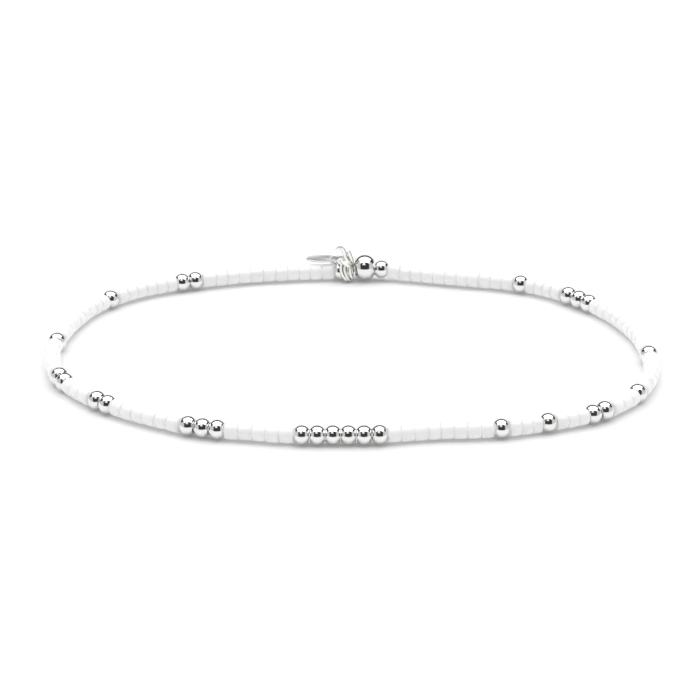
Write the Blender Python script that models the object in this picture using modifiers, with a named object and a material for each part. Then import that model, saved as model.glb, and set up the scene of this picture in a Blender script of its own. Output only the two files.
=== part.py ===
"""Stretch bracelet: one row of small white glass seed beads with polished silver beads between them.

The beads are drilled and threaded on a clear elastic cord. The cord is tied in a knot at the back,
beside one bigger silver bead, and the knot holds a small jump ring with a plain oval tag.
The loop lies on the plane z = 0, with its front along -Y and its knot at the back.
"""
import math

import bmesh
import bpy
import numpy as np
from mathutils import Matrix, Vector

# Seed beads: short glass cylinders with soft edges.
SEED_DIAMETER = 0.00178
SEED_LENGTH = 0.00133
SEED_BORE = 0.00082
SEED_EDGE = 0.00020
SEED_GROOVE = 0.00014

# Small silver beads: drilled, slightly flattened balls. Each end is a flat ring round the bore.
SILVER_DIAMETER = 0.0020
SILVER_LENGTH = 0.0015
SILVER_END = 0.00125
SILVER_BORE = 0.00086

# The bigger silver bead beside the knot.
LARGE_DIAMETER = 0.0029
LARGE_LENGTH = 0.0022
LARGE_END = 0.00175
LARGE_BORE = 0.0010

# What stays free between two neighbours on the cord.
BEAD_GAP = 0.00005
SIDES = 10
BALL_STEPS = (-1.0, -0.55, 0.0, 0.55, 1.0)
EDGE_ANGLE = math.radians(40)

# Elastic cord and its knot.
CORD_DIAMETER = 0.00038
TAIL_DIAMETER = 0.00046
KNOT_LENGTH = 0.00084
KNOT_THICKNESS = 0.00120
KNOT_GAP = 0.00004

# Jump ring and tag. The ring leans on the silver bead beside the knot: RING_SEAT is how far up the
# bead's back it touches, and RING_LEFT_SHARE how far left of the bead it sits, in ring radii.
# RING_TAG_TURN is how far round the ring, up from its left end, the tag's hole has slid.
RING_DIAMETER = 0.00230
RING_WIRE = 0.00032
RING_TILT = math.radians(45)
RING_GAP = 0.00026
STRAND_GAP = 0.00007
RING_SEAT = math.radians(35)
RING_LEFT_SHARE = -0.06
RING_TAG_TURN = math.radians(30)
TAG_LENGTH = 0.00370
TAG_WIDTH = 0.00240
TAG_THICKNESS = 0.00020
TAG_HOLE = 0.00092
TAG_MARGIN = 0.00024
TAG_TILT = math.radians(-4)

# The row of beads, in the order they are threaded, from the left end of the front silver group.
# Columns: kind of bead, how many, length of one as a share of its named length.
ROW = (
    ("silver", 6, 1.00),
    ("seed", 8, 1.005),
    ("silver", 1, 1.00),
    ("seed", 3, 0.845),
    ("silver", 1, 1.00),
    ("seed", 3, 0.870),
    ("silver", 2, 1.00),
    ("seed", 3, 1.020),
    ("silver", 1, 1.00),
    ("seed", 6, 1.085),
    ("silver", 1, 1.00),
    ("seed", 10, 1.037),
    ("silver", 3, 1.00),
    ("seed", 4, 0.860),
    ("silver", 1, 1.00),
    ("seed", 11, 0.990),
    ("silver", 1, 1.00),
    ("large", 1, 1.00),
    ("knot", 1, 1.00),
    ("silver", 1, 1.00),
    ("seed", 11, 1.030),
    ("silver", 2, 1.00),
    ("seed", 6, 0.955),
    ("silver", 1, 1.00),
    ("seed", 9, 0.953),
    ("silver", 1, 1.00),
    ("seed", 6, 0.972),
    ("silver", 2, 1.00),
    ("seed", 3, 1.073),
    ("silver", 2, 1.00),
    ("seed", 6, 1.042),
    ("silver", 3, 1.00),
    ("seed", 5, 1.047),
)

# Where the row runs on the table, seen from above: x and y of its chosen points, in millimetres.
# The loop through them is scaled until its length is that of the threaded row.
ROUTE = (
    (-4.76, -21.02), (-0.8, -21.02), (3.0, -20.93), (6.4, -20.29), (10.8, -19.87), (15.0, -19.47),
    (19.66, -18.12), (24.2, -16.20), (27.97, -12.86), (30.8, -7.60), (31.35, -1.40), (29.75, 6.52),
    (26.22, 12.63), (19.1, 18.30), (11.93, 20.15), (6.15, 21.60), (1.5, 22.25), (-3.5, 22.02),
    (-8.98, 21.45), (-15.9, 19.82), (-22.28, 17.18), (-27.4, 12.55), (-30.15, 6.22), (-31.25, 0.00),
    (-29.85, -7.18), (-25.33, -13.03), (-20.42, -16.60), (-14.86, -19.28), (-9.57, -20.38),
)
ROUTE_STEPS = 480
CORD_STEPS = 80

# How far the row leaves the height of the small beads on each side of the bigger one.
RISE_BEFORE = 0.0050
RISE_AFTER = 0.0030

# The knot's strands, in millimetres from the middle of the knot: x to the right, y to the back, z up.
FRONT_STRANDS = (
    ((-0.10, -0.10, 0.50), (-0.84, -0.52, 0.95), (-1.12, -0.92, 0.80), (-1.14, -1.20, 0.30),
     (-0.94, -1.26, -0.25), (-0.59, -1.14, -0.72), (-0.28, -0.75, -0.86), (0.00, -0.20, -0.35)),
    ((0.00, -0.10, 0.50), (-0.56, -0.66, 0.84), (-0.75, -1.06, 0.50), (-0.65, -1.25, 0.00),
     (-0.39, -1.18, -0.56), (-0.15, -0.84, -0.84), (0.05, -0.20, -0.35)),
    ((0.12, -0.10, 0.50), (-0.15, -0.69, 0.71), (-0.15, -1.07, 0.38), (-0.07, -1.21, -0.14),
     (0.08, -1.02, -0.58), (0.04, -0.60, -0.72), (0.10, -0.15, -0.35)),
)
RING_STRAND_ENDS = ((0.14, 0.10, 0.30), (-0.05, 0.02, 0.30))
RING_STRAND_TURN = (-40, 20, 90, 160, 220)
CROSS_STRANDS = (
    ((0.05, -0.05, 0.50), (-0.08, -0.43, 0.99), (-0.55, -0.72, 1.13), (-1.08, -0.76, 1.10),
     (-1.46, -0.54, 1.06), (-1.46, -0.18, 1.12), (-0.97, -0.14, 1.10), (-0.14, -0.05, 0.50)),
    ((0.08, -0.10, 0.45), (0.02, -0.68, 0.63), (-0.34, -1.08, 0.88), (-0.80, -0.99, 1.10),
     (-1.10, -0.62, 1.30), (-0.74, -0.30, 1.20), (-0.18, -0.12, 0.55)),
)
TAILS = (
    ((-0.05, -0.05, 0.45), (-0.36, -0.26, 1.05), (-0.66, -0.40, 1.70), (-0.80, -0.42, 2.25),
     (-1.00, -0.42, 2.66), (-1.34, -0.42, 2.72), (-1.62, -0.42, 2.44)),
    ((0.08, 0.00, 0.45), (0.06, -0.12, 1.10), (-0.10, -0.16, 1.70), (-0.32, -0.18, 2.20)),
)

WHITE = (0.90, 0.90, 0.89, 1.0)
SILVER = (0.80, 0.80, 0.81, 1.0)
CLEAR = (0.84, 0.85, 0.76, 1.0)


def material(name, colour, roughness, metallic):
    """A Principled material of one colour."""
    made = bpy.data.materials.new(name)
    made.use_nodes = True
    shader = made.node_tree.nodes["Principled BSDF"]
    shader.inputs["Base Color"].default_value = colour
    shader.inputs["Roughness"].default_value = roughness
    shader.inputs["Metallic"].default_value = metallic
    made.diffuse_color = colour
    return made


def collection(name):
    made = bpy.data.collections.new(name)
    bpy.context.scene.collection.children.link(made)
    return made


def new_object(name, data, home, look=None):
    made = bpy.data.objects.new(name, data)
    home.objects.link(made)
    if look:
        data.materials.append(look)
    return made


def name_last(name, home, look=None):
    """Names the primitive that was just added, and moves it to its collection."""
    made = bpy.context.object
    made.name = name
    for other in list(made.users_collection):
        other.objects.unlink(made)
    home.objects.link(made)
    if look:
        made.data.materials.append(look)
    return made


def smooth_with_edges(mesh):
    mesh.shade_smooth()
    mesh.set_sharp_from_angle(angle=EDGE_ANGLE)


def smooth_loop(points, count):
    """A closed cubic spline through the points, read at count even steps."""
    chosen = np.array(points, float)
    total = len(chosen)
    spans = np.linalg.norm(np.roll(chosen, -1, axis=0) - chosen, axis=1)
    system = np.zeros((total, total))
    right = np.zeros((total, 2))
    for i in range(total):
        before = (i - 1) % total
        after = (i + 1) % total
        system[i, before] += spans[before]
        system[i, i] += 2 * (spans[before] + spans[i])
        system[i, after] += spans[i]
        right[i] = 6 * ((chosen[after] - chosen[i]) / spans[i]
                        - (chosen[i] - chosen[before]) / spans[before])
    bends = np.linalg.solve(system, right)
    fine = []
    for i in range(total):
        after = (i + 1) % total
        span = spans[i]
        for step in np.linspace(0, span, 60, endpoint=False):
            a = (span - step) / span
            b = step / span
            fine.append(a * chosen[i] + b * chosen[after]
                        + ((a ** 3 - a) * bends[i] + (b ** 3 - b) * bends[after]) * span * span / 6)
    fine = np.array(fine + [fine[0]])
    walked = np.concatenate([[0], np.cumsum(np.linalg.norm(np.diff(fine, axis=0), axis=1))])
    even = np.linspace(0, walked[-1], count, endpoint=False)
    return np.stack([np.interp(even, walked, fine[:, 0]), np.interp(even, walked, fine[:, 1])], axis=1)


def row_pieces():
    """Each stretch of the row as (kind, number of beads in it, its start, its length)."""
    lengths = {"seed": SEED_LENGTH, "silver": SILVER_LENGTH, "large": LARGE_LENGTH, "knot": KNOT_LENGTH}
    pieces = []
    place = -SILVER_LENGTH / 2
    for kind, count, share in ROW:
        length = lengths[kind] * share
        if kind == "seed":
            pieces.append((kind, count, place, count * length))
            place += count * length + BEAD_GAP
            continue
        for _ in range(count):
            pieces.append((kind, 1, place, length))
            place += length + BEAD_GAP
    return pieces, place + SILVER_LENGTH / 2


def rise(walk, middle):
    """Height of the row over the small beads' own, at a distance along the row."""
    lift = (LARGE_DIAMETER - SILVER_DIAMETER) / 2
    off = walk - middle
    reach = RISE_BEFORE if off < 0 else RISE_AFTER
    if abs(off) >= reach:
        return 0.0
    return lift * math.cos(off / reach * math.pi / 2) ** 2


class Row:
    """The line through the bores, with places and directions by the distance along it."""

    def __init__(self, flat, length, middle):
        size = length / np.linalg.norm(np.roll(flat, -1, axis=0) - flat, axis=1).sum()
        for _ in range(4):
            line = np.zeros((len(flat), 3))
            line[:, :2] = flat * size
            walk = np.concatenate([[0], np.cumsum(np.linalg.norm(np.diff(line[:, :2], axis=0), axis=1))])
            walk *= length / (walk[-1] + np.linalg.norm(line[0, :2] - line[-1, :2]))
            line[:, 2] = [SILVER_DIAMETER / 2 + rise(w, middle) for w in walk]
            closed = np.vstack([line, line[:1]])
            real = np.linalg.norm(np.diff(closed, axis=0), axis=1)
            size *= length / real.sum()
        self.points = line
        self.closed = closed
        self.walked = np.concatenate([[0], np.cumsum(real)])
        self.length = self.walked[-1]

    def at(self, walk):
        walk %= self.length
        return Vector([float(np.interp(walk, self.walked, self.closed[:, k])) for k in range(3)])

    def along(self, walk):
        step = self.length / len(self.points)
        return (self.at(walk + step) - self.at(walk - step)).normalized()

    def frame(self, walk):
        """A turned and moved frame: X along the row, Z as near to up as that allows."""
        x = self.along(walk)
        y = Vector((0, 0, 1)).cross(x).normalized()
        turned = Matrix((x, y, x.cross(y))).transposed().to_4x4()
        turned.translation = self.at(walk)
        return turned


def turned_piece(name, profile, home, look):
    """A closed profile of (x, radius) points turned about the X axis."""
    mesh = bpy.data.meshes.new(name)
    corners = [(x, 0, radius) for x, radius in reversed(profile)]
    edges = [(i, (i + 1) % len(corners)) for i in range(len(corners))]
    mesh.from_pydata(corners, edges, [])
    made = new_object(name, mesh, home, look)
    add_screw(made)
    return made


def add_screw(made):
    turn = made.modifiers.new("Turn", "SCREW")
    turn.axis = "X"
    turn.steps = SIDES
    turn.render_steps = SIDES
    turn.use_merge_vertices = False
    turn.use_smooth_shade = True


def ball_profile(diameter, length, end, bore):
    """A flattened ball that is cut off where it is as wide as its end, and back along its bore."""
    half = length / 2
    last = math.asin(math.sqrt(1 - (end / diameter) ** 2))
    profile = []
    for share in BALL_STEPS:
        turn = share * last
        profile.append((half * math.sin(turn) / math.sin(last), diameter / 2 * math.cos(turn)))
    return profile + [(half, bore / 2), (-half, bore / 2)]


def seed_profile(start, count, length):
    """A straight run of seed beads with a groove at each joint, and the bore through them."""
    pitch = length / count
    full = SEED_DIAMETER / 2
    low = full - SEED_GROOVE
    profile = [(start, low)]
    for i in range(count):
        left = start + i * pitch
        profile.append((left + SEED_EDGE, full))
        profile.append((left + pitch - SEED_EDGE, full))
        profile.append((left + pitch, low))
    stops = max(1, math.ceil(count / 2))
    for i in range(stops, -1, -1):
        profile.append((start + length * i / stops, SEED_BORE / 2))
    return profile


def tube(name, points, diameter, home, cyclic=False, sides=2):
    """A round strand through the points, as a closed mesh."""
    curve = bpy.data.curves.new(name, "CURVE")
    curve.dimensions = "3D"
    curve.bevel_depth = diameter / 2
    curve.bevel_resolution = sides
    curve.use_fill_caps = not cyclic
    spline = curve.splines.new("POLY")
    spline.points.add(len(points) - 1)
    for point, place in zip(spline.points, points):
        point.co = (*place, 1)
    spline.use_cyclic_u = cyclic
    made = new_object(name + "_curve", curve, home)
    bpy.context.view_layer.update()
    seen = made.evaluated_get(bpy.context.evaluated_depsgraph_get())
    mesh = bpy.data.meshes.new_from_object(seen)
    mesh.name = name
    weld(mesh)
    solid = new_object(name, mesh, home)
    bpy.data.objects.remove(made)
    return solid


def weld(mesh):
    work = bmesh.new()
    work.from_mesh(mesh)
    bmesh.ops.remove_doubles(work, verts=work.verts, dist=0.0000001)
    bmesh.ops.recalc_face_normals(work, faces=work.faces)
    work.to_mesh(mesh)
    work.free()


def in_metres(points):
    return [Vector(point) * 0.001 for point in points]


def eased(points, steps):
    """Points read from a smooth open line through the chosen ones."""
    chosen = list(points)
    chosen = [2 * chosen[0] - chosen[1]] + chosen + [2 * chosen[-1] - chosen[-2]]
    smooth = []
    for i in range(1, len(chosen) - 2):
        a, b, c, d = chosen[i - 1:i + 3]
        for step in range(steps):
            t = step / steps
            smooth.append(0.5 * (2 * b + (c - a) * t + (2 * a - 5 * b + 4 * c - d) * t * t
                                 + (3 * b - 3 * c + d - a) * t ** 3))
    return smooth + [chosen[-2]]


def join_on(made, cutter, mode="UNION"):
    """A Boolean step. Its self option is for tight strands, whose own bends may touch."""
    step = made.modifiers.new(cutter.name, "BOOLEAN")
    step.operation = mode
    step.solver = "EXACT"
    step.use_self = mode == "UNION"
    step.object = cutter
    cutter.hide_render = True
    cutter.display_type = "WIRE"


def guide_curve(row, home):
    """The row's line as a curve, which bends the straight runs of seed beads."""
    curve = bpy.data.curves.new("row_line", "CURVE")
    curve.dimensions = "3D"
    curve.twist_mode = "Z_UP"
    spline = curve.splines.new("POLY")
    spline.points.add(len(row.points) - 1)
    for point, place in zip(spline.points, row.points):
        point.co = (*place, 1)
    spline.use_cyclic_u = True
    made = new_object("row_line", curve, home)
    made.hide_render = True
    made.display_type = "WIRE"
    return made


def add_beads(pieces, row, line, home, looks):
    """Beads and runs in the order they are threaded. Gives the silver bead that follows the knot."""
    numbers = {"seed": 0, "silver": 0}
    shared = None
    follows_knot = None
    past_knot = False
    for kind, count, start, long in pieces:
        middle = start + long / 2
        if kind == "seed":
            numbers["seed"] += 1
            run = turned_piece("seed_run_%02d" % numbers["seed"], seed_profile(start, count, long),
                               home, looks["white"])
            bend = run.modifiers.new("Bend", "CURVE")
            bend.object = line
            bend.deform_axis = "POS_X"
        elif kind == "silver":
            numbers["silver"] += 1
            name = "silver_bead_%02d" % numbers["silver"]
            if shared is None:
                profile = ball_profile(SILVER_DIAMETER, SILVER_LENGTH, SILVER_END, SILVER_BORE)
                bead = turned_piece(name, profile, home, looks["silver"])
                shared = bead.data
            else:
                bead = new_object(name, shared, home)
                add_screw(bead)
            bead.matrix_world = row.frame(middle)
            if past_knot and follows_knot is None:
                follows_knot = bead
        elif kind == "large":
            profile = ball_profile(LARGE_DIAMETER, LARGE_LENGTH, LARGE_END, LARGE_BORE)
            bead = turned_piece("large_silver_bead", profile, home, looks["silver"])
            bead.matrix_world = row.frame(middle)
        past_knot = past_knot or kind == "knot"
    return follows_knot


def ring_middle(bead):
    """Where the jump ring's middle lies: behind and over the silver bead beside the knot."""
    seat = SILVER_DIAMETER / 2 + RING_GAP + RING_WIRE / 2
    return bead.matrix_world.translation + Vector((-RING_LEFT_SHARE * RING_DIAMETER / 2,
                                                   seat * math.cos(RING_SEAT),
                                                   seat * math.sin(RING_SEAT)))


def ring_strand(start, end, middle):
    """A strand of the knot that goes round the jump ring's wire at its right end."""
    wire = middle + Vector((RING_DIAMETER / 2, 0, 0))
    across = Vector((0, math.sin(RING_TILT), math.cos(RING_TILT)))
    reach = (RING_WIRE + CORD_DIAMETER) / 2 + STRAND_GAP
    turns = [math.radians(turn) for turn in RING_STRAND_TURN]
    return [start] + [wire + reach * (Vector((math.cos(turn), 0, 0)) + math.sin(turn) * across)
                      for turn in turns] + [end]


def add_cord(row, middle, bead, home, guides, look):
    """The elastic cord through every bore, with the knot's core, strands and tails joined on."""
    every = ROUTE_STEPS // CORD_STEPS
    cord = tube("elastic_cord", row.points[::every], CORD_DIAMETER, home, cyclic=True)
    cord.data.materials.append(look)
    place = row.frame(middle)

    bpy.ops.mesh.primitive_uv_sphere_add(segments=12, ring_count=8, radius=1)
    core = name_last("knot_core", guides)
    core.data.transform(Matrix.Diagonal((KNOT_LENGTH / 2 - KNOT_GAP, KNOT_THICKNESS / 2,
                                         KNOT_THICKNESS / 2, 1)))
    core.matrix_world = place
    join_on(cord, core)
    centre = place.translation
    strands = [(points, CORD_DIAMETER) for points in (*FRONT_STRANDS, *CROSS_STRANDS)]
    strands += [(points, TAIL_DIAMETER) for points in TAILS]
    routes = [([centre + point for point in in_metres(points)], thick) for points, thick in strands]
    start, end = in_metres(RING_STRAND_ENDS)
    routes.append((ring_strand(centre + start, centre + end, ring_middle(bead)), CORD_DIAMETER))
    for number, (route, thick) in enumerate(routes):
        strand = tube("strand_%d" % (number + 1), eased(route, 2), thick, guides, sides=1)
        join_on(cord, strand)


def add_ring_and_tag(bead, home, guides, look):
    """The jump ring over the back of the silver bead beside the knot, and the tag lying out from it."""
    middle = ring_middle(bead)
    bpy.ops.mesh.primitive_torus_add(major_segments=24, minor_segments=6,
                                     major_radius=RING_DIAMETER / 2, minor_radius=RING_WIRE / 2)
    ring = name_last("jump_ring", home, look)
    ring.location = middle
    ring.rotation_euler = (-RING_TILT, 0, 0)

    slid = RING_DIAMETER / 2 * math.sin(RING_TAG_TURN)
    hole = middle + Vector((-RING_DIAMETER / 2 * math.cos(RING_TAG_TURN),
                            -slid * math.cos(RING_TILT), slid * math.sin(RING_TILT)))
    tip = hole.x + TAG_HOLE / 2 + TAG_MARGIN
    bpy.ops.mesh.primitive_cylinder_add(vertices=28, radius=1, depth=1)
    tag = name_last("tag", home, look)
    tag.data.transform(Matrix.Diagonal((TAG_LENGTH / 2, TAG_WIDTH / 2, TAG_THICKNESS, 1)))
    tag.location = (tip - TAG_LENGTH / 2, hole.y, hole.z)
    tag.rotation_euler = (TAG_TILT, 0, 0)
    bpy.ops.mesh.primitive_cylinder_add(vertices=14, radius=TAG_HOLE / 2, depth=TAG_THICKNESS * 4)
    drill = name_last("tag_drill", guides)
    drill.location = hole
    join_on(tag, drill, "DIFFERENCE")
    smooth_with_edges(ring.data)
    smooth_with_edges(tag.data)


def put_on_origin(home, guides):
    """Hangs every object on an empty, which puts the origin under the middle of the whole."""
    bpy.context.view_layer.update()
    graph = bpy.context.evaluated_depsgraph_get()
    corners = []
    for made in home.objects:
        seen = made.evaluated_get(graph)
        corners += [seen.matrix_world @ corner.co for corner in seen.data.vertices]
    corners = np.array(corners)
    low = corners.min(axis=0)
    high = corners.max(axis=0)
    base = new_object("bracelet_base", None, home)
    base.location = (-(low[0] + high[0]) / 2, -(low[1] + high[1]) / 2, -low[2])
    for made in (*home.objects, *guides.objects):
        if made != base:
            made.parent = base


def build():
    for old in list(bpy.data.objects):
        bpy.data.objects.remove(old)
    home = collection("bracelet")
    guides = collection("guides")
    looks = {
        "white": material("white_glass", WHITE, 0.22, 0.0),
        "silver": material("polished_silver", SILVER, 0.08, 1.0),
        "clear": material("clear_elastic", CLEAR, 0.20, 0.0),
    }
    pieces, length = row_pieces()
    middles = {kind: start + long / 2 for kind, _, start, long in pieces if kind in ("large", "knot")}
    flat = smooth_loop([(x * 0.001, y * 0.001) for x, y in ROUTE], ROUTE_STEPS)
    row = Row(flat, length, middles["large"])
    line = guide_curve(row, guides)
    bead = add_beads(pieces, row, line, home, looks)
    add_cord(row, middles["knot"], bead, home, guides, looks["clear"])
    add_ring_and_tag(bead, home, guides, looks["silver"])
    put_on_origin(home, guides)


build()
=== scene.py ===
# %% [markdown]
# # A stretch bracelet of white glass beads and polished silver beads
# The bracelet is one row of tiny drilled beads on a clear elastic cord, tied at the back, where a jump ring
# holds a plain oval tag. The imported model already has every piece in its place, but its beads are coarse.
# This lesson keeps the places and makes each piece again as finely as a close photograph needs. Lengths are
# in metres, and MM turns millimetres into them.

# %% Load the frame
import math
import random

import bmesh
import bpy
import numpy as np
from mathutils import Matrix, Vector


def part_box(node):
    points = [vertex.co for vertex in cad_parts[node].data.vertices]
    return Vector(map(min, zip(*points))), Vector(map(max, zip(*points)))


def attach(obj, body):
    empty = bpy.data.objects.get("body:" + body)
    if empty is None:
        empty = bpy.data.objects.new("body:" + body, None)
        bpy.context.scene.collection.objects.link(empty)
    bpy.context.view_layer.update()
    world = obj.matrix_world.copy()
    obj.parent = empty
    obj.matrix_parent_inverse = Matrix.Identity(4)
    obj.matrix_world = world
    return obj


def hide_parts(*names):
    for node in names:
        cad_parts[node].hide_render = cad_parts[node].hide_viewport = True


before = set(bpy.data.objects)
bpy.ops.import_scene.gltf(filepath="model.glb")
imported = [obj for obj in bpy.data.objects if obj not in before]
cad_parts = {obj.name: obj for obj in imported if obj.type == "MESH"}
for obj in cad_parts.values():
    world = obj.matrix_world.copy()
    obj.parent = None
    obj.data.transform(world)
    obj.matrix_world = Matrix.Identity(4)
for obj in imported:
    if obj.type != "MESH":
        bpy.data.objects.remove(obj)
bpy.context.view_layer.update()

MM = 0.001
SAME_PLACE = 0.0001 * MM
print("Pieces in the packed model:", len(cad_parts))

# %% [markdown]
# ## The camera comes first
# The loop looks like a flat oval because the camera stands low in front of it. A wide lens close by or a
# long one far off could both fill the picture. A long lens from thirty centimetres away is right, because
# it gives the photograph's mild perspective: beads at the front look about a seventh wider than beads at
# the back. A camera looks along its own -Z, so turning it up from straight down by a right angle less the
# camera's height angle points it at the loop.

# %% Camera
VIEW_HEIGHT = math.radians(23.5)
VIEW_DISTANCE = 0.300
FOCAL_PIXELS = 2820
IMAGE_PIXELS = 700
AIM = Vector((-0.10, -1.17, 1.0)) * MM

lens = bpy.data.cameras.new("camera")
lens.sensor_width = 36
lens.lens = lens.sensor_width * FOCAL_PIXELS / IMAGE_PIXELS
lens.clip_start = 0.01
camera = bpy.data.objects.new("camera", lens)
bpy.context.scene.collection.objects.link(camera)
camera.location = AIM + VIEW_DISTANCE * Vector((0, -math.cos(VIEW_HEIGHT), math.sin(VIEW_HEIGHT)))
camera.rotation_euler = (math.pi / 2 - VIEW_HEIGHT, 0, 0)
bpy.context.scene.camera = camera
print("Lens of", round(lens.lens, 1), "mm")

# %% [markdown]
# ## The order of the beads
# A stringer writes a bracelet down as a list: six silver, eight white, one silver and so on. Each bead
# could be placed by hand, but the same list as on the stringer's table keeps the order and drives
# everything below. Glass beads are never quite equal, so each run also has the share of the named length
# that its beads measure. The knot has its own stretch of the row, beside the large bead.

# %% The threading list
WHITE_DIAMETER = 1.78 * MM
WHITE_LENGTH = 1.33 * MM
WHITE_BORE = 0.82 * MM
SILVER_DIAMETER = 2.0 * MM
SILVER_LENGTH = 1.5 * MM
SILVER_END = 1.25 * MM
SILVER_BORE = 0.86 * MM
LARGE_DIAMETER = 2.9 * MM
LARGE_LENGTH = 2.2 * MM
LARGE_END = 1.75 * MM
LARGE_BORE = 1.0 * MM
KNOT_LENGTH = 0.84 * MM
BEAD_GAP = 0.05 * MM

THREADING = (
    ("silver", 6, 1.00), ("white", 8, 1.005), ("silver", 1, 1.00), ("white", 3, 0.845),
    ("silver", 1, 1.00), ("white", 3, 0.870), ("silver", 2, 1.00), ("white", 3, 1.020),
    ("silver", 1, 1.00), ("white", 6, 1.085), ("silver", 1, 1.00), ("white", 10, 1.037),
    ("silver", 3, 1.00), ("white", 4, 0.860), ("silver", 1, 1.00), ("white", 11, 0.990),
    ("silver", 1, 1.00), ("large", 1, 1.00), ("knot", 1, 1.00), ("silver", 1, 1.00),
    ("white", 11, 1.030), ("silver", 2, 1.00), ("white", 6, 0.955), ("silver", 1, 1.00),
    ("white", 9, 0.953), ("silver", 1, 1.00), ("white", 6, 0.972), ("silver", 2, 1.00),
    ("white", 3, 1.073), ("silver", 2, 1.00), ("white", 6, 1.042), ("silver", 3, 1.00),
    ("white", 5, 1.047),
)
LENGTHS = {"white": WHITE_LENGTH, "silver": SILVER_LENGTH, "large": LARGE_LENGTH, "knot": KNOT_LENGTH}


def thread(order):
    """Each stretch as (kind, how many, where it starts on the row, how long it is)."""
    pieces = []
    place = -SILVER_LENGTH / 2
    for kind, count, share in order:
        length = LENGTHS[kind] * share
        stretches = [(count, count * length)] if kind == "white" else [(1, length)] * count
        for number, long in stretches:
            pieces.append((kind, number, place, long))
            place += long + BEAD_GAP
    return pieces, place + SILVER_LENGTH / 2


stretches, row_length = thread(THREADING)
print("Row of", round(row_length / MM, 1), "mm with",
      sum(n for kind, n, _, _ in stretches if kind == "white"), "white beads")

# %% [markdown]
# ## The line that the row lies on
# Seen from above the loop is an egg with a few soft corners where it was put down. An ellipse would be
# simpler, but a real string of beads never lies in one. The chosen points are the ones that the packed
# model was made from. A closed cubic spline passes through them, and the line is scaled until it is as long
# as the threaded row. It rises a little at the big bead, whose radius is larger.

# %% The row's line
ROUTE = (
    (-4.76, -21.02), (-0.8, -21.02), (3.0, -20.93), (6.4, -20.29), (10.8, -19.87), (15.0, -19.47),
    (19.66, -18.12), (24.2, -16.20), (27.97, -12.86), (30.8, -7.60), (31.35, -1.40), (29.75, 6.52),
    (26.22, 12.63), (19.1, 18.30), (11.93, 20.15), (6.15, 21.60), (1.5, 22.25), (-3.5, 22.02),
    (-8.98, 21.45), (-15.9, 19.82), (-22.28, 17.18), (-27.4, 12.55), (-30.15, 6.22), (-31.25, 0.00),
    (-29.85, -7.18), (-25.33, -13.03), (-20.42, -16.60), (-14.86, -19.28), (-9.57, -20.38),
)
ROUTE_STEPS = 480
SPLINE_STEPS = 60
LIFT_PASSES = 4
RISE_BEFORE = 5.0 * MM
RISE_AFTER = 3.0 * MM


def smooth_loop(points, count):
    """A closed cubic spline through the points, read at count even steps."""
    chosen = np.array(points) * MM
    following = np.roll(chosen, -1, axis=0)
    spans = np.linalg.norm(following - chosen, axis=1)
    slopes = (following - chosen) / spans[:, None]
    total = len(chosen)
    system = np.zeros((total, total))
    for i in range(total):
        system[i, i - 1] += spans[i - 1]
        system[i, i] += 2 * (spans[i - 1] + spans[i])
        system[i, (i + 1) % total] += spans[i]
    bends = np.linalg.solve(system, 6 * (slopes - np.roll(slopes, 1, axis=0)))
    fine = []
    for i in range(total):
        after = (i + 1) % total
        for b in np.linspace(0, 1, SPLINE_STEPS, endpoint=False):
            a = 1 - b
            fine.append(a * chosen[i] + b * chosen[after] + ((a ** 3 - a) * bends[i]
                        + (b ** 3 - b) * bends[after]) * spans[i] ** 2 / 6)
    fine = np.array(fine + fine[:1])
    walked = np.concatenate([[0], np.cumsum(np.linalg.norm(np.diff(fine, axis=0), axis=1))])
    even = np.linspace(0, walked[-1], count, endpoint=False)
    return np.stack([np.interp(even, walked, fine[:, k]) for k in (0, 1)], axis=1)


def steps_between(line):
    return np.linalg.norm(np.roll(line, -1, axis=0) - line, axis=1)


def lifted(flat, length, middle):
    """The line at the beads' height, scaled to the row's length, with its rise at the big bead."""
    size = length / steps_between(flat).sum()
    for _ in range(LIFT_PASSES):
        line = np.zeros((len(flat), 3))
        line[:, :2] = flat * size
        walk = np.arange(len(flat)) * length / len(flat) - middle
        reach = np.where(walk < 0, RISE_BEFORE, RISE_AFTER)
        near = np.clip(np.abs(walk) / reach, 0, 1)
        line[:, 2] = SILVER_DIAMETER / 2
        line[:, 2] += (LARGE_DIAMETER - SILVER_DIAMETER) / 2 * np.cos(near * math.pi / 2) ** 2
        size *= length / steps_between(line).sum()
    return line


MIDDLES = {kind: start + long / 2 for kind, _, start, long in stretches}
row_line = lifted(smooth_loop(ROUTE, ROUTE_STEPS), row_length, MIDDLES["large"])
row_closed = np.vstack([row_line, row_line[:1]])
row_walked = np.concatenate([[0], np.cumsum(steps_between(row_line))])


def on_row(walk):
    walk = walk % row_walked[-1]
    return Vector([float(np.interp(walk, row_walked, row_closed[:, k])) for k in range(3)])


def row_frame(walk):
    """A frame on the row: X along the bore, Z as near to up as that allows."""
    step = row_length / ROUTE_STEPS
    x = (on_row(walk + step) - on_row(walk - step)).normalized()
    y = Vector((0, 0, 1)).cross(x).normalized()
    turned = Matrix((x, y, x.cross(y))).transposed().to_4x4()
    turned.translation = on_row(walk) + row_shift
    return turned


print("The line rises", round((row_line[:, 2].max() - SILVER_DIAMETER / 2) / MM, 2), "mm at the big bead")

# %% [markdown]
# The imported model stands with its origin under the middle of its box, and the line doesn't know that place.
# It could be typed in, but a measured place can't go stale: the line is moved until the silver beads on it
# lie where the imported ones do. The largest difference that is left shows that both agree.

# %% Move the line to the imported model
silver_walks = [start + long / 2 for kind, _, start, long in stretches if kind == "silver"]
packed = [sum(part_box("silver_bead_%02d" % (i + 1)), Vector()) / 2 for i in range(len(silver_walks))]
moves = [place - on_row(walk) for place, walk in zip(packed, silver_walks)]
row_shift = sum(moves, Vector()) / len(moves)
print("Largest difference from the packed beads:",
      round(max((move - row_shift).length for move in moves) / MM, 3), "mm")

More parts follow.
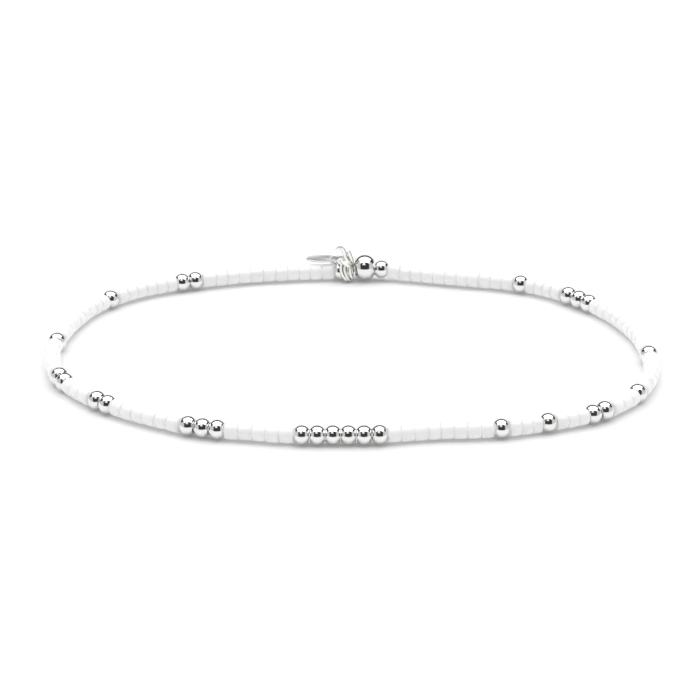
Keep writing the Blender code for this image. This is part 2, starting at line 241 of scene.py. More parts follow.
# %% [markdown]
# ## Shader maths that reads like Python
# A material here is a sum of patterns. Its nodes could be linked one by one, but sums are easier to read
# than links. Wrapping a socket in a small class with the usual operators lets `1 - mask` or `tone * 0.2 +
# grain` add the Math nodes by itself. Every other node comes from one method, which sets the node up first
# and then fills in or links its sockets.

# %% Shader tools


class Value:
    """A number in a node tree."""

    def __init__(self, look, socket):
        self.look = look
        self.socket = socket

    def maths(self, operation, first, second=0.0):
        made = self.look.node("ShaderNodeMath", {"operation": operation}, {0: first, 1: second})
        return Value(self.look, made.outputs[0])

    def __add__(self, other):
        return self.maths("ADD", self, other)

    def __radd__(self, other):
        return self.maths("ADD", other, self)

    def __sub__(self, other):
        return self.maths("SUBTRACT", self, other)

    def __rsub__(self, other):
        return self.maths("SUBTRACT", other, self)

    def __mul__(self, other):
        return self.maths("MULTIPLY", self, other)

    def __rmul__(self, other):
        return self.maths("MULTIPLY", other, self)


print("Numbers in a node tree now add, subtract and multiply")

# %% [markdown]
# A tree of nodes is then filled by a few short methods: one that adds any node, and one each for what these
# finishes use most, such as a soft step, a mix of two colours, noise and bump. A look is such a tree inside a
# material. All its patterns are counted in millimetres on the piece, so they stay put when the piece moves.

# %% Node trees and looks


class Nodes:
    """A node tree that is written in Python."""

    def __init__(self, tree):
        self.tree = tree

    def node(self, kind, settings=None, sockets=None):
        """Adds a node, sets it up, then gives its sockets their values or links."""
        made = self.tree.nodes.new(kind)
        for name, value in (settings or {}).items():
            setattr(made, name, value)
        self.fill(made, sockets or {})
        return made

    def fill(self, made, sockets):
        for name, value in sockets.items():
            value = value.socket if isinstance(value, Value) else value
            if isinstance(value, bpy.types.NodeSocket):
                self.tree.links.new(value, made.inputs[name])
            else:
                made.inputs[name].default_value = value

    def step(self, value, low, high):
        """0 below low, 1 above high and a soft change between them."""
        made = self.node("ShaderNodeMapRange", {"interpolation_type": "SMOOTHSTEP"},
                         {"Value": value, "From Min": low, "From Max": high})
        return Value(self, made.outputs["Result"])

    def mixed(self, share, first, second):
        """A colour between two colours."""
        made = self.node("ShaderNodeMix", {"data_type": "RGBA"}, {"Factor": share, 6: first, 7: second})
        return made.outputs[2]


class Look(Nodes):
    """A material with its Principled shader and the nodes that feed it."""

    def __init__(self, name):
        self.material = bpy.data.materials.new(name)
        self.material.use_nodes = True
        super().__init__(self.material.node_tree)
        self.shader = self.tree.nodes["Principled BSDF"]
        place = self.node("ShaderNodeTexCoord").outputs["Object"]
        scaled = self.node("ShaderNodeMapping", {}, {"Vector": place, "Scale": (1 / MM,) * 3})
        self.in_millimetres = scaled.outputs[0]

    def noise(self, scale, detail=2.0, stretch=None):
        """Noise with a number of lumps to a millimetre, from 0 to 1."""
        where = self.in_millimetres
        if stretch:
            where = self.node("ShaderNodeMapping", {}, {"Vector": where, "Scale": stretch}).outputs[0]
        made = self.node("ShaderNodeTexNoise", {}, {"Vector": where, "Scale": scale, "Detail": detail})
        return Value(self, made.outputs["Fac"])

    def attribute(self, name):
        return Value(self, self.node("ShaderNodeAttribute", {"attribute_name": name}).outputs["Fac"])

    def bumped(self, height, distance):
        made = self.node("ShaderNodeBump", {}, {"Height": height, "Distance": distance, "Strength": 1.0})
        return made.outputs[0]

    def set(self, **sockets):
        self.fill(self.shader, {name.replace("_", " "): value for name, value in sockets.items()})


print("A look can be mixed from noise, steps, colours and bump")

# %% [markdown]
# ## White glass
# The white beads are opaque glass: bright, a little milky, with a soft gloss. Plain white paint would be
# simpler and look like chalk. Light goes some tenths of a millimetre into such glass before it comes out,
# which fills the shaded side of each bead and the groove to its neighbour. So the finish is a pale base
# with subsurface light under a smooth skin. Each bead carries a number for its own tone, because beads from
# one bag differ slightly, and another that finds its ends, where the base colour is painted a little greyer
# as shade in the groove to the next bead. The weak glow is painted light that stands for light that has
# come through the bead from the bright table.

# %% White glass finish
white_glass = Look("white_glass_fine")
bead_tone = white_glass.attribute("bead_tone")
# painted shade: the base colour turns greyer towards each bead's ends, in the groove to the next bead
painted_joint_shade = white_glass.step(white_glass.attribute("near_end"), 0.66, 1.0)
clouds = white_glass.noise(1.1, 3.0)
ripples = white_glass.noise(3.2, 2.0)
pale = white_glass.mixed(bead_tone * 0.75 + clouds * 0.25, (0.92, 0.92, 0.915, 1), (0.965, 0.965, 0.96, 1))
shaded = white_glass.mixed(painted_joint_shade, pale, (0.90, 0.90, 0.895, 1))
# the weak emission is painted light, for light that comes through the bead from the table
white_glass.set(Base_Color=shaded, Roughness=0.14 + ripples * 0.14,
                Normal=white_glass.bumped(ripples + clouds * 0.6, 0.003 * MM),
                Subsurface_Weight=1.0, Subsurface_Scale=0.8 * MM, Subsurface_Radius=(1.0, 1.0, 0.95),
                IOR=1.5, Emission_Color=(1, 1, 1, 1), Emission_Strength=0.09)
print("White glass has", len(white_glass.tree.nodes), "nodes")

# %% [markdown]
# ## Polished silver
# Polished silver is a mirror, so what it shows is the room. Grey paint with painted highlights would slide
# apart from another side, so the room at the end of this lesson does that work. Its own colour is almost
# white. Handling leaves hair-fine scratches. Towards the drilled ends the colour turns darker and rougher,
# partly real wear and partly painted shade where the beads meet, which the finish reads from a number that
# the beads carry along their length.

# %% Polished silver finish
silver = Look("polished_silver_fine")
worn_and_shaded_ends = silver.attribute("near_end")
smears = silver.noise(0.8, 3.0)
hairlines = silver.noise(2.2, 4.0, stretch=(1.0, 7.0, 1.6))
# the colour darkens towards the drilled ends: partly real wear, partly painted shade where the beads meet
tint = silver.mixed(worn_and_shaded_ends * 0.5 + smears * 0.2, (0.885, 0.885, 0.88, 1), (0.74, 0.73, 0.72, 1))
silver.set(Base_Color=tint, Metallic=1.0, Roughness=0.025 + smears * 0.03 + worn_and_shaded_ends * 0.10,
           Normal=silver.bumped(hairlines, 0.0012 * MM))
print("Polished silver has", len(silver.tree.nodes), "nodes")

# %% [markdown]
# ## The tag's silver
# A thin stamped tag is never as flat as a mirror, and tumbling leaves it half matt. The polished finish
# would turn it black where it shows the dark part of the room. Very low, long waves break what it shows
# into streaks, because it is seen almost edge on, and a share that isn't metallic keeps it light.

# %% Tag finish
tag_silver = Look("tag_silver_fine")
haze = tag_silver.noise(1.6, 3.0)
waves = tag_silver.noise(0.55, 1.0, stretch=(0.5, 1.3, 1.0))
tumbled = tag_silver.mixed(haze, (0.86, 0.86, 0.855, 1), (0.90, 0.90, 0.895, 1))
tag_silver.set(Base_Color=tumbled, Metallic=0.6, Roughness=0.12 + haze * 0.10,
               Normal=tag_silver.bumped(waves, 0.035 * MM))
print("The tag's silver has", len(tag_silver.tree.nodes), "nodes")

# %% [markdown]
# ## The ring's silver
# The jump ring is handled most, and its thin wire has lost its first polish, so its gloss is softer. It could
# share the beads' finish, but then it would vanish against the white beads. So its colour is a darker grey
# all over, which is painted shade.

# %% Ring finish
ring_silver = Look("ring_silver_fine")
rubbed = ring_silver.noise(2.0, 3.0)
# painted shade: the whole ring is a darker grey than the beads' silver
painted_shade_grey = ring_silver.mixed(rubbed, (0.50, 0.50, 0.51, 1), (0.66, 0.66, 0.67, 1))
ring_silver.set(Base_Color=painted_shade_grey, Metallic=1.0, Roughness=0.10 + rubbed * 0.10,
                Normal=ring_silver.bumped(rubbed, 0.003 * MM))
print("The ring's silver has", len(ring_silver.tree.nodes), "nodes")

# %% [markdown]
# ## Clear elastic
# The cord is a clear stretch plastic with a faint warm tint. Pure glass would be true for one long strand,
# but a knot of it turns into a grey lump, because little light finds its way out. So a part of the light
# goes through and a part is scattered, under a glossy coat, with fine lines from when the cord was drawn.
# Where strands lie side by side each is painted dark along its flanks, as shade in the creases, and a number
# on the mesh says where that is. A weak glow of painted light keeps the rest of each strand bright.

# %% Clear elastic finish
elastic = Look("clear_elastic_fine")
drawn = elastic.noise(2.5, 3.0)
# painted shade: the strands turn dark along their flanks and on the hook's top
crease_shade = elastic.step(elastic.attribute("crease_shade"), 0.35, 0.95)
clear = elastic.mixed(drawn, (0.97, 0.97, 0.93, 1), (1.0, 1.0, 0.98, 1))
# the weak emission is painted light that keeps the strands bright, with none in the painted creases
elastic.set(Base_Color=elastic.mixed(crease_shade, clear, (0.10, 0.10, 0.09, 1)),
            Roughness=0.06 + drawn * 0.08, Normal=elastic.bumped(drawn, 0.006 * MM),
            Transmission_Weight=0.35, Subsurface_Weight=0.5, Subsurface_Scale=0.05 * MM,
            Subsurface_Radius=(1.0, 1.0, 1.0), IOR=1.5, Emission_Strength=0.25,
            Emission_Color=elastic.mixed(crease_shade, (1.0, 1.0, 0.96, 1), (0.05, 0.05, 0.05, 1)),
            Coat_Weight=0.6, Coat_Roughness=0.05)
print("Clear elastic has", len(elastic.tree.nodes), "nodes")

# %% [markdown]
# ## From a bmesh to a finished piece
# Every piece ends the same way, so one function does it and no piece can miss a step: doubles are merged,
# faces turned outwards, the mesh goes into an object at the origin, and the object stands for its packed
# node.


def finished(work, name, look, node, sharp=None):
    bmesh.ops.remove_doubles(work, verts=work.verts, dist=SAME_PLACE)
    bmesh.ops.recalc_face_normals(work, faces=work.faces)
    mesh = bpy.data.meshes.new(name)
    work.to_mesh(mesh)
    work.free()
    mesh.shade_smooth()
    if sharp:
        mesh.set_sharp_from_angle(angle=math.radians(sharp))
    mesh.materials.append(look.material)
    piece = bpy.data.objects.new(name, mesh)
    bpy.context.scene.collection.objects.link(piece)
    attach(piece, "root")
    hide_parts(node)
    return piece


# %% [markdown]
# ## One white bead
# A seed bead is cut from a drawn glass tube and tumbled in heat until its edges are round. It could be a
# pipe with bevelled edges. In section it is a thick wall with a soft shoulder at each end, and spinning
# that section about the bore makes wall, bore and shoulders at once, with few faces. The section runs in
# millimetres, as (along the bore, away from it).

# %% Section of a white bead, and the spin
SHOULDER = 0.20
SHOULDER_STEPS = 4
BELLY = 0.026
BORE_EDGE = ((0.07, 0.00), (0.02, 0.04), (0.00, 0.11))
WHITE_SIDES = 28


def shoulder(radius, steps):
    """A quarter round, from the end face to the outer side, as steps back and steps in."""
    for i in range(steps + 1):
        turn = math.radians(90) * i / steps
        yield radius * (1 - math.cos(turn)), radius * (1 - math.sin(turn))


def white_section():
    half = WHITE_LENGTH / MM / 2
    outer = WHITE_DIAMETER / MM / 2
    bore = WHITE_BORE / MM / 2
    left = [(back - half, bore + out) for back, out in BORE_EDGE]
    left += [(back - half, outer - BELLY - down) for back, down in shoulder(SHOULDER, SHOULDER_STEPS)]
    return left + [(0, outer)] + [(-x, r) for x, r in reversed(left)]


def spun(section, sides):
    """A bmesh of the closed section turned about the X axis."""
    work = bmesh.new()
    corners = [work.verts.new((x * MM, 0, r * MM)) for x, r in section]
    edges = [work.edges.new((a, b)) for a, b in zip(corners, corners[1:] + corners[:1])]
    bmesh.ops.spin(work, geom=corners + edges, cent=(0, 0, 0), axis=(1, 0, 0), dvec=(0, 0, 0),
                   angle=math.radians(360), steps=sides, use_merge=True, use_duplicate=False)
    bmesh.ops.remove_doubles(work, verts=work.verts, dist=SAME_PLACE)
    bmesh.ops.recalc_face_normals(work, faces=work.faces)
    return work


def mark_ends(work, half, reach):
    """Writes on each corner how near it is to an end of the bead, from 0 to 1."""
    layer = work.verts.layers.float.new("near_end")
    for corner in work.verts:
        corner[layer] = min(1.0, max(0.0, 1 - (half - abs(corner.co.x)) / reach))


WHITE_END_REACH = 0.25 * MM
white_bead = spun(white_section(), WHITE_SIDES)
mark_ends(white_bead, WHITE_LENGTH / 2, WHITE_END_REACH)
white_bead.verts.layers.float.new("bead_tone")
print("A white bead has", len(white_bead.faces), "faces")

# %% [markdown]
# ## Runs of white beads
# Each run between two silver beads is one piece, made of separate beads. An array would repeat one bead
# exactly, and no two real ones are quite alike: lengths, widths, tilts and tones vary by a few parts in a
# hundred around the measured mean of the run, and each bead hangs a hair off the cord's centre. So each is
# copied and changed by itself. A seeded generator keeps the same bracelet every time.

# %% String the white beads
LENGTH_SPREAD = 0.06
WIDTH_SPREAD = 0.025
TILT_SPREAD = math.radians(1.5)
LOOSENESS = 0.025 * MM
HAIR = -0.01 * MM
luck = random.Random(17)


def vary(spread):
    return luck.uniform(-spread, spread)


def copy_bead(work, place, tone):
    """Adds one more white bead to a bmesh."""
    before = len(work.verts)
    mesh = bpy.data.meshes.new("bead")
    white_bead.to_mesh(mesh)
    work.from_mesh(mesh)
    bpy.data.meshes.remove(mesh)
    work.verts.ensure_lookup_table()
    added = work.verts[before:]
    bmesh.ops.transform(work, matrix=place, verts=added)
    tones = work.verts.layers.float["bead_tone"]
    for corner in added:
        corner[tones] = tone


def string_run(number, count, start, length):
    work = bmesh.new()
    shares = [1 + vary(LENGTH_SPREAD) for _ in range(count)]
    walk = start
    for share in shares:
        long = length * share / sum(shares)
        size = Matrix.Diagonal(((long - HAIR) / WHITE_LENGTH, 1 + vary(WIDTH_SPREAD),
                                1 + vary(WIDTH_SPREAD), 1))
        tilt = Matrix.Rotation(vary(TILT_SPREAD), 4, "Y") @ Matrix.Rotation(vary(TILT_SPREAD), 4, "Z")
        spin = Matrix.Rotation(vary(math.pi), 4, "X")
        loose = Matrix.Translation((0, vary(LOOSENESS), vary(LOOSENESS)))
        copy_bead(work, row_frame(walk + long / 2) @ loose @ tilt @ spin @ size, luck.random())
        walk += long
    return finished(work, "white_beads_%02d" % number, white_glass, "seed_run_%02d" % number)


white_stretches = [stretch[1:] for stretch in stretches if stretch[0] == "white"]
for number, (count, start, length) in enumerate(white_stretches, 1):
    string_run(number, count, start, length)
white_bead.free()
print("Strung", len(white_stretches), "runs of white beads")

# %% [markdown]
# ## Silver balls
# A silver bead is a thin ball, slightly flattened along its bore, with a flat ring round each hole where it
# was pressed. A sphere with its ends cut off and a hole drilled through it would need two Booleans.
# Spinning a section is cleaner: an arc that stops at the ring, a tiny rounded corner, and the bore.

# %% Section of a silver ball
SILVER_SIDES = 48
ARC_STEPS = 18
CORNER = 0.02
BORE_DEPTH = 0.04
SILVER_END_REACH = 0.12 * MM
SHARP_DEGREES = 50


def ball_section(diameter, length, end, bore):
    half = length / MM / 2
    wide = diameter / MM / 2
    last = math.asin(math.sqrt(1 - (end / diameter) ** 2))
    arc = []
    for i in range(ARC_STEPS + 1):
        turn = last * (2 * i / ARC_STEPS - 1)
        arc.append((half * math.sin(turn) / math.sin(last), wide * math.cos(turn)))
    hole = bore / MM / 2
    flat = end / MM / 2
    right = [(half, flat - CORNER), (half - CORNER / 2, hole + CORNER), (half - BORE_DEPTH, hole)]
    return arc + right + [(-x, r) for x, r in reversed(right)]


def silver_ball(name, node, size, walk):
    diameter, length, end, bore = size
    work = spun(ball_section(diameter, length, end, bore), SILVER_SIDES)
    mark_ends(work, length / 2, SILVER_END_REACH)
    turn = Matrix.Rotation(vary(math.pi), 4, "X")
    bmesh.ops.transform(work, matrix=row_frame(walk) @ turn, verts=work.verts)
    return finished(work, name, silver, node, sharp=SHARP_DEGREES)


SMALL = (SILVER_DIAMETER, SILVER_LENGTH, SILVER_END, SILVER_BORE)
LARGE = (LARGE_DIAMETER, LARGE_LENGTH, LARGE_END, LARGE_BORE)
for number, walk in enumerate(silver_walks, 1):
    silver_ball("silver_ball_%02d" % number, "silver_bead_%02d" % number, SMALL, walk)
silver_ball("large_silver_ball", "large_silver_bead", LARGE, MIDDLES["large"])
print("Made", len(silver_walks) + 1, "silver balls")

# %% [markdown]
# ## Elastic cord and knot
# The cord runs through every bore. At the back both ends are tied into a small knot between the big ball
# and its neighbour. Three strands run down its front, two cross them at the top, one holds the jump ring,
# and two cut tails stand up, the left one bent over like a hook. A knot could be tied as one closed line,
# but its inside never shows, so each strand that shows is a line of its own through a few chosen points.
# They are counted in millimetres from the knot's middle.

# %% Knot and ring sizes
CORD_DIAMETER = 0.38 * MM
TAIL_DIAMETER = 0.46 * MM
KNOT_THICKNESS = 1.2 * MM
KNOT_GAP = 0.04 * MM
RING_DIAMETER = 2.3 * MM
RING_WIRE = 0.32 * MM
RING_TILT = math.radians(45)
RING_GAP = 0.26 * MM
STRAND_GAP = 0.07 * MM
RING_SEAT = math.radians(35)
RING_LEFT_SHARE = -0.06
RING_TAG_TURN = math.radians(30)
print("A ring", round(RING_DIAMETER / MM, 1), "mm wide, of wire", round(RING_WIRE / MM, 2), "mm thick")

# %% [markdown]
# The points of each strand follow, as (along the row to the right, away from the camera, up). The strand that
# holds the ring isn't listed: it is worked out from the ring's wire, so it always goes round it.

# %% Knot routes
FRONT_STRANDS = (
    ((-0.10, -0.10, 0.50), (-0.84, -0.52, 0.95), (-1.12, -0.92, 0.80), (-1.14, -1.20, 0.30),
     (-0.94, -1.26, -0.25), (-0.59, -1.14, -0.72), (-0.28, -0.75, -0.86), (0.00, -0.20, -0.35)),
    ((0.00, -0.10, 0.50), (-0.56, -0.66, 0.84), (-0.75, -1.06, 0.50), (-0.65, -1.25, 0.00),
     (-0.39, -1.18, -0.56), (-0.15, -0.84, -0.84), (0.05, -0.20, -0.35)),
    ((0.12, -0.10, 0.50), (-0.15, -0.69, 0.71), (-0.15, -1.07, 0.38), (-0.07, -1.21, -0.14),
     (0.08, -1.02, -0.58), (0.04, -0.60, -0.72), (0.10, -0.15, -0.35)),
)
CROSS_STRANDS = (
    ((0.05, -0.05, 0.50), (-0.08, -0.43, 0.99), (-0.55, -0.72, 1.13), (-1.08, -0.76, 1.10),
     (-1.46, -0.54, 1.06), (-1.46, -0.18, 1.12), (-0.97, -0.14, 1.10), (-0.14, -0.05, 0.50)),
    ((0.08, -0.10, 0.45), (0.02, -0.68, 0.63), (-0.34, -1.08, 0.88), (-0.80, -0.99, 1.10),
     (-1.10, -0.62, 1.30), (-0.74, -0.30, 1.20), (-0.18, -0.12, 0.55)),
)
TAILS = (
    ((-0.05, -0.05, 0.45), (-0.36, -0.26, 1.05), (-0.66, -0.40, 1.70), (-0.80, -0.42, 2.25),
     (-1.00, -0.42, 2.66), (-1.34, -0.42, 2.72), (-1.62, -0.42, 2.44)),
    ((0.08, 0.00, 0.45), (0.06, -0.12, 1.10), (-0.10, -0.16, 1.70), (-0.32, -0.18, 2.20)),
)
RING_STRAND_ENDS = ((0.14, 0.10, 0.30), (-0.05, 0.02, 0.30))
RING_STRAND_TURN = (-40, 20, 90, 160, 220)

knot_frame = row_frame(MIDDLES["knot"])
knot_middle = knot_frame.translation.copy()
ring_bead = row_frame(min(walk for walk in silver_walks if walk > MIDDLES["knot"])).translation
ring_seat = SILVER_DIAMETER / 2 + RING_GAP + RING_WIRE / 2
ring_middle = ring_bead + Vector((-RING_LEFT_SHARE * RING_DIAMETER / 2,
                                  ring_seat * math.cos(RING_SEAT), ring_seat * math.sin(RING_SEAT)))


def ring_strand():
    """The strand that goes round the jump ring's wire at its right end."""
    wire = ring_middle + Vector((RING_DIAMETER / 2, 0, 0))
    across = Vector((0, math.sin(RING_TILT), math.cos(RING_TILT)))
    reach = (RING_WIRE + CORD_DIAMETER) / 2 + STRAND_GAP
    start, end = [knot_middle + Vector(point) * MM for point in RING_STRAND_ENDS]
    around = [wire + reach * (Vector((math.cos(turn), 0, 0)) + math.sin(turn) * across)
              for turn in map(math.radians, RING_STRAND_TURN)]
    return [start] + around + [end]


def from_knot(points):
    return [knot_middle + Vector(point) * MM for point in points]


strand_routes = [(from_knot(points), CORD_DIAMETER) for points in (*FRONT_STRANDS, *CROSS_STRANDS)]
strand_routes += [(from_knot(points), TAIL_DIAMETER) for points in TAILS]
strand_routes.append((ring_strand(), CORD_DIAMETER))
print("The knot has", len(strand_routes), "strands")

# %% [markdown]
# Each route becomes a round strand. A tube could be lofted ring by ring, but a curve with a bevel does that
# by itself and keeps its thickness in every bend.

# %% Round strands
BEVEL_STEPS = 4
EASE_STEPS = 6


def eased(points):
    """A smooth open line through the points."""
    chosen = [2 * points[0] - points[1]] + list(points) + [2 * points[-1] - points[-2]]
    smooth = []
    for i in range(1, len(chosen) - 2):
        a, b, c, d = chosen[i - 1:i + 3]
        for t in np.linspace(0, 1, EASE_STEPS, endpoint=False):
            smooth.append(0.5 * (2 * b + (c - a) * t + (2 * a - 5 * b + 4 * c - d) * t * t
                                 + (3 * b - 3 * c + d - a) * t ** 3))
    return smooth + [chosen[-2]]


def add_strand(work, points, diameter, cyclic=False):
    """Adds a round tube along the points to a bmesh, made from a bevelled curve."""
    curve = bpy.data.curves.new("strand", "CURVE")
    curve.dimensions = "3D"
    curve.bevel_depth = diameter / 2
    curve.bevel_resolution = BEVEL_STEPS
    curve.use_fill_caps = not cyclic
    spline = curve.splines.new("POLY")
    spline.points.add(len(points) - 1)
    for point, place in zip(spline.points, points):
        point.co = (*place, 1)
    spline.use_cyclic_u = cyclic
    made = bpy.data.objects.new("strand", curve)
    bpy.context.scene.collection.objects.link(made)
    bpy.context.view_layer.update()
    mesh = bpy.data.meshes.new_from_object(made.evaluated_get(bpy.context.evaluated_depsgraph_get()))
    work.from_mesh(mesh)
    bpy.data.meshes.remove(mesh)
    bpy.data.objects.remove(made)
    bpy.data.curves.remove(curve)


print("A strand has", 2 * (BEVEL_STEPS + 1) + 2, "sides")

# %% [markdown]
# Now the cord is laid and tied. A small round core closes the knot behind the strands. Last, each corner near
# the knot gets its number for the painted shade along the strands' flanks, which is read from the way that
# the corner faces.

# %% Tie the cord
LOOP_STRIDE = 3
CORE_SEGMENTS = (24, 16)
KNOT_REACH = 1.9 * MM
KNOT_BACK = 1.6 * MM
TAIL_TOP = 2.0 * MM


def mark_crease_shade(work):
    """Writes on each corner of the knot how much painted shade it gets: how much it faces along the row or
    down, from 0 to 1.

    On the hook at the top of the tails, facing up counts too, so the hook's top is painted dark.
    """
    # this number says where the strands get painted shade
    layer = work.verts.layers.float.new("crease_shade")
    work.normal_update()
    along = knot_frame.to_3x3().col[0]
    for corner in work.verts:
        place = corner.co - knot_middle
        if abs(place.dot(along)) < KNOT_REACH and place.y > -KNOT_BACK:
            flat = abs(corner.normal.z) if place.z > TAIL_TOP else -corner.normal.z
            corner[layer] = max(abs(corner.normal.dot(along)), flat)


cord_work = bmesh.new()
whole_loop = [Vector(point) + row_shift for point in row_line[::LOOP_STRIDE]]
add_strand(cord_work, whole_loop, CORD_DIAMETER, cyclic=True)
for route, thick in strand_routes:
    add_strand(cord_work, eased(route), thick)
around, rings = CORE_SEGMENTS
core = bmesh.ops.create_uvsphere(cord_work, u_segments=around, v_segments=rings, radius=1)["verts"]
core_size = Matrix.Diagonal((KNOT_LENGTH / 2 - KNOT_GAP, KNOT_THICKNESS / 2, KNOT_THICKNESS / 2, 1))
bmesh.ops.transform(cord_work, matrix=knot_frame @ core_size, verts=core)
mark_crease_shade(cord_work)
finished(cord_work, "elastic_cord_and_knot", elastic, "elastic_cord", sharp=60)
print("The cord and its knot are made")

# %% [markdown]
# ## Jump ring
# The ring is a thin round wire, bent into a circle and closed. Blender's torus would do, but bmesh has
# none, so a small circle is stood on its edge and spun about the ring's axis. The ring leans on the silver
# bead beside the knot.

# %% Jump ring
WIRE_SIDES = 14
RING_STEPS = 56

ring_work = bmesh.new()
wire_circle = bmesh.ops.create_circle(ring_work, segments=WIRE_SIDES, radius=RING_WIRE / 2)["verts"]
stand = Matrix.Translation((RING_DIAMETER / 2, 0, 0)) @ Matrix.Rotation(math.radians(90), 4, "X")
bmesh.ops.transform(ring_work, matrix=stand, verts=wire_circle)
bmesh.ops.spin(ring_work, geom=ring_work.verts[:] + ring_work.edges[:], cent=(0, 0, 0), axis=(0, 0, 1),
               dvec=(0, 0, 0), angle=math.radians(360), steps=RING_STEPS, use_merge=True,
               use_duplicate=False)
lean = Matrix.Translation(ring_middle) @ Matrix.Rotation(-RING_TILT, 4, "X")
bmesh.ops.transform(ring_work, matrix=lean, verts=ring_work.verts)
finished(ring_work, "jump_ring_fine", ring_silver, "jump_ring")
print("Jump ring made")

# %% [markdown]
# ## Oval tag
# The tag is stamped from sheet: an oval with a hole near one end and rounded rims. The hole could be cut
# with a Boolean, but two loops of edges, the oval and the hole, can be bridged into a flat face at once.
# The face is extruded to the sheet's thickness, and the rims are bevelled. Nothing is engraved on it. The
# tag hangs a little way up the left side of the ring and leans back.

# %% Oval tag
TAG_LENGTH = 3.7 * MM
TAG_WIDTH = 2.4 * MM
TAG_THICKNESS = 0.20 * MM
TAG_HOLE = 0.92 * MM
TAG_MARGIN = 0.24 * MM
TAG_TILT = math.radians(-4)
TAG_SIDES = 64
RIM_SHARE = 0.4
RIM_STEPS = 4
RIM_ANGLE = math.radians(60)

slid = RING_DIAMETER / 2 * math.sin(RING_TAG_TURN)
tag_hole = ring_middle + Vector((-RING_DIAMETER / 2 * math.cos(RING_TAG_TURN),
                                 -slid * math.cos(RING_TILT), slid * math.sin(RING_TILT)))
tag_shift = Vector((TAG_HOLE / 2 + TAG_MARGIN - TAG_LENGTH / 2, 0, 0))
tag_work = bmesh.new()
oval = bmesh.ops.create_circle(tag_work, segments=TAG_SIDES, radius=1)["verts"]
oval_place = Matrix.Translation(tag_shift) @ Matrix.Diagonal((TAG_LENGTH / 2, TAG_WIDTH / 2, 1, 1))
bmesh.ops.transform(tag_work, matrix=oval_place, verts=oval)
bmesh.ops.create_circle(tag_work, segments=TAG_SIDES, radius=TAG_HOLE / 2)
bmesh.ops.bridge_loops(tag_work, edges=tag_work.edges[:])
raised = bmesh.ops.extrude_face_region(tag_work, geom=tag_work.faces[:])["geom"]
bmesh.ops.translate(tag_work, vec=(0, 0, TAG_THICKNESS),
                    verts=[part for part in raised if isinstance(part, bmesh.types.BMVert)])
bmesh.ops.translate(tag_work, vec=(0, 0, -TAG_THICKNESS / 2), verts=tag_work.verts)
bmesh.ops.recalc_face_normals(tag_work, faces=tag_work.faces)
rims = [edge for edge in tag_work.edges if edge.is_manifold and edge.calc_face_angle() > RIM_ANGLE]
bmesh.ops.bevel(tag_work, geom=rims, offset=TAG_THICKNESS * RIM_SHARE, segments=RIM_STEPS, profile=0.5,
                affect="EDGES", material=-1)
tag_place = Matrix.Translation(tag_hole) @ Matrix.Rotation(TAG_TILT, 4, "X")
bmesh.ops.transform(tag_work, matrix=tag_place, verts=tag_work.verts)
finished(tag_work, "tag_fine", tag_silver, "tag", sharp=35)
print("Oval tag made")

# %% [markdown]
# ## The table
# A white table fills the picture. In the photograph it is pure white with only a thin shadow at the beads.
# A stronger light would bleach the beads too, so the table has a faint light of its own, as a light table
# has.

# %% Table
floor_look = Look("white_table")
paper = floor_look.noise(0.6, 3.0)
floor_look.set(Base_Color=floor_look.mixed(paper, (0.79, 0.79, 0.79, 1), (0.81, 0.81, 0.81, 1)),
               Roughness=0.7 + paper * 0.1, Normal=floor_look.bumped(paper, 0.002 * MM),
               Emission_Color=(1, 1, 1, 1), Emission_Strength=0.10)
TABLE_REACH = 3.0
floor_work = bmesh.new()
bmesh.ops.create_grid(floor_work, x_segments=2, y_segments=2, size=TABLE_REACH)
floor_mesh = bpy.data.meshes.new("table")
floor_work.to_mesh(floor_mesh)
floor_work.free()
floor_mesh.materials.append(floor_look.material)
floor = bpy.data.objects.new("table", floor_mesh)
bpy.context.scene.collection.objects.link(floor)
print("The table reaches", TABLE_REACH, "m each way")

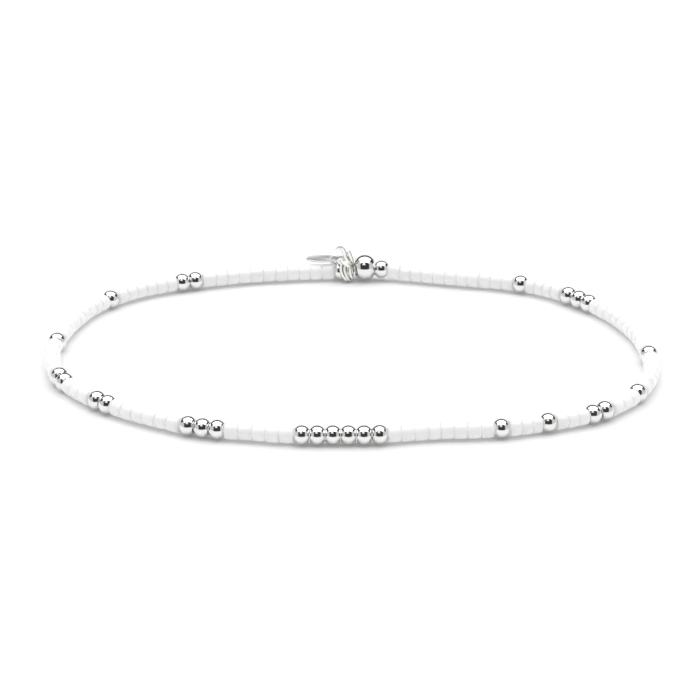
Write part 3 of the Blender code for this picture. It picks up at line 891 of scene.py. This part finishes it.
# %% [markdown]
# ## The room is the light
# Lamps could light the beads, but polished silver also shows what surrounds it, and a lamp shows as a bare
# patch. So the room is a sky that is painted by direction, and it gives both the light and the mirror
# pictures. It is set up from what the biggest ball shows: a softbox overhead that reaches far back, pale
# grey walls, and in front the dark opening where the camera stands, which gives each ball its dark band,
# with a white panel hanging into it a little left of the middle. A dark stretch behind the softbox draws
# the thin dark line along the top of each ball.

# %% Directions in the room
world = bpy.data.worlds.new("room")
bpy.context.scene.world = world
world.use_nodes = True
room = Nodes(world.node_tree)
direction = room.node("ShaderNodeTexCoord").outputs["Generated"]
parts = room.node("ShaderNodeSeparateXYZ", {}, {0: direction}).outputs
side, back, up = [Value(room, part) for part in parts]


def degrees(value):
    return value * (180 / math.pi)


height = degrees(up.maths("ARCSINE", up))
bearing = degrees(side.maths("ARCTAN2", side, back * -1))
pitch = degrees(up.maths("ARCTAN2", up, back * -1))
sideways = side.maths("ABSOLUTE", side)


def between(value, low, high, soft):
    return room.step(value, low - soft, low + soft) * (1 - room.step(value, high - soft, high + soft))


print("Directions are read from", len(room.tree.nodes), "nodes")

# %% [markdown]
# Each part of the room is a mask that is 1 inside it and 0 outside, with a soft edge. The masks are laid over
# each other from the far walls to the softbox, each with its own brightness.

# %% Paint the room
SOFTBOX = 2.5
WALL = 0.66
STRIP = 0.68
OPENING = 0.045
PANEL = 1.0
DARK_BEHIND = 0.06

softbox = between(pitch, 71, 135.5, 1.5) * (1 - room.step(sideways, 0.60, 0.68))
opening = between(height, 4, 78, 1.0) * between(bearing, -62, 60, 2.0)
opening = opening * (1 - room.step(sideways, 0.66, 0.72))
panel = between(height, 43, 78, 1.5) * between(bearing, -36, 8, 2.0)
strip = 1 - room.step(height, 6, 9)
behind = between(pitch, 100, 172, 3.0) * between(height, 12, 70, 2.0)
behind = behind * (1 - room.step(sideways, 0.86, 0.94))

light = (WALL + strip * (STRIP - WALL)) * (1 - behind) + behind * DARK_BEHIND
light = light * (1 - opening) + opening * OPENING
light = light * (1 - panel) + panel * PANEL
light = light * (1 - softbox) + softbox * SOFTBOX
room.fill(world.node_tree.nodes["Background"], {"Color": (1, 1, 1, 1), "Strength": light})
bpy.context.scene.view_settings.view_transform = "Standard"
print("The room has", len(room.tree.nodes), "nodes")
